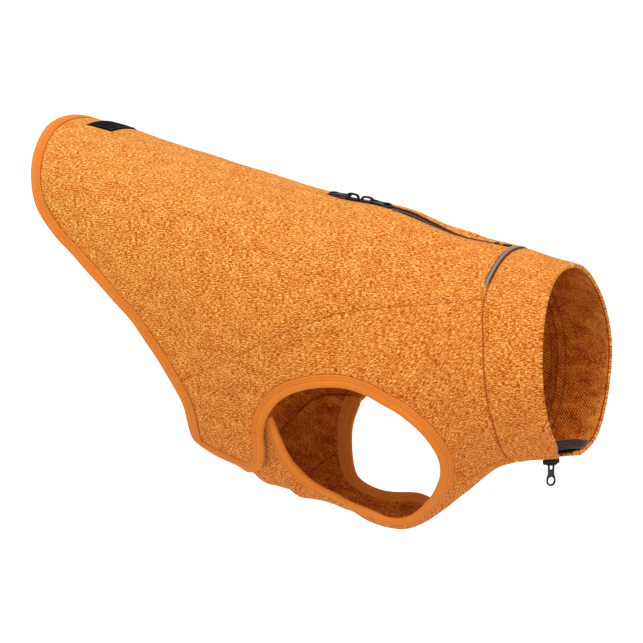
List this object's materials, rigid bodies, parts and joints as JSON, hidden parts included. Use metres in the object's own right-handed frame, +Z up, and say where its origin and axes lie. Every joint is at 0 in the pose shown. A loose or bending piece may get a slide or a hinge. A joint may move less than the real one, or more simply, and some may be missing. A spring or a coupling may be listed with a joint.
{
  "type": "dog sweater",
  "caption": "Pull-on dog sweater in heather knit fleece with bound hem and armholes, a zipped leash slot on the back and a zip at the throat.",
  "frame": {"origin": "on the inner face of the back, on its middle line, where the wearer's back carries the garment", "axes": "+X towards the neck opening, +Y the dog's left, +Z up"},
  "size_m": [0.4687, 0.18, 0.3179],
  "materials": {
    "heather": "brushed heather knit fleece",
    "binding": "smooth stretch binding with parallel stitching",
    "piping": "grey reflective piping with a soft sheen",
    "label": "bare black woven label",
    "zip_tape": "black woven zip tape with nylon coil",
    "zip_metal": "dark satin enamel"
  },
  "bodies": {
    "garment": {"back_panel": "heather", "side_panel_right": "heather", "side_panel_left": "heather", "belly_panel": "heather", "collar": "heather", "hem_binding": "binding", "armhole_binding_right": "binding", "armhole_binding_left": "binding", "collar_piping": "piping", "label": "label", "leash_zip": "zip_tape", "chest_zip": "zip_tape", "leash_slider_rear": "zip_metal", "leash_slider_front": "zip_metal", "chest_slider": "zip_metal"},
    "leash_tab_rear": {"leash_pull_rear": "zip_metal"},
    "leash_tab_front": {"leash_pull_front": "zip_metal"},
    "chest_tab": {"chest_pull": "zip_metal"}
  },
  "joints": [
    {"name": "leash_tab_rear_hinge", "type": "hinge", "parent": "garment", "child": "leash_tab_rear", "pos_m": [0.08092, 0, -0.01024], "axis": [0, 1, 0], "range_deg": [0, 110]},
    {"name": "leash_tab_front_hinge", "type": "hinge", "parent": "garment", "child": "leash_tab_front", "pos_m": [0.09991, 0, -0.01301], "axis": [0, -1, 0], "range_deg": [0, 110]},
    {"name": "chest_tab_hinge", "type": "hinge", "parent": "garment", "child": "chest_tab", "pos_m": [0.25799, 0, -0.20599], "axis": [0, 1, 0], "range_deg": [-75, 75]}
  ]
}
